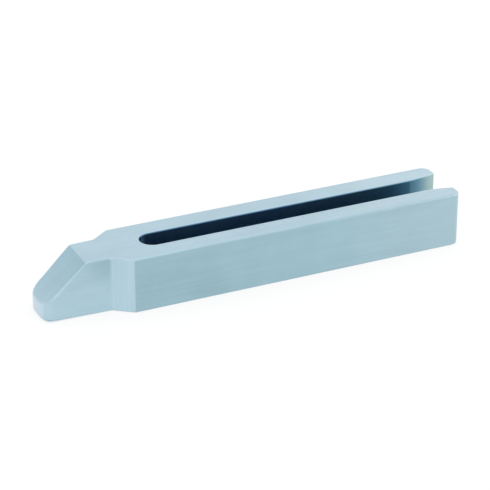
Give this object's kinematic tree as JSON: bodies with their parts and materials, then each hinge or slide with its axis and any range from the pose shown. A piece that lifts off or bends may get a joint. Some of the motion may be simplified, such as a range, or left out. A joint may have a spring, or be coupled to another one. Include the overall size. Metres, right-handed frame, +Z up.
{
  "type": "fork strap clamp",
  "caption": "Steel fork strap clamp: a long bar with an open slot for the clamping stud and a narrowed nose whose top slopes down to a low toe that presses on the work.",
  "frame": {"origin": "centre of the footprint on the flat bottom face", "axes": "-X along the bar to the nose, +X to the open ends of the fork, Y across the bar, +Z up from the bottom face to the face that the nut's washer sits on"},
  "size_m": [0.3, 0.05, 0.038],
  "materials": {
    "ground_steel": "satin ground, edges broken"
  },
  "bodies": {
    "root": {"clamp_body": "ground_steel"}
  },
  "joints": []
}
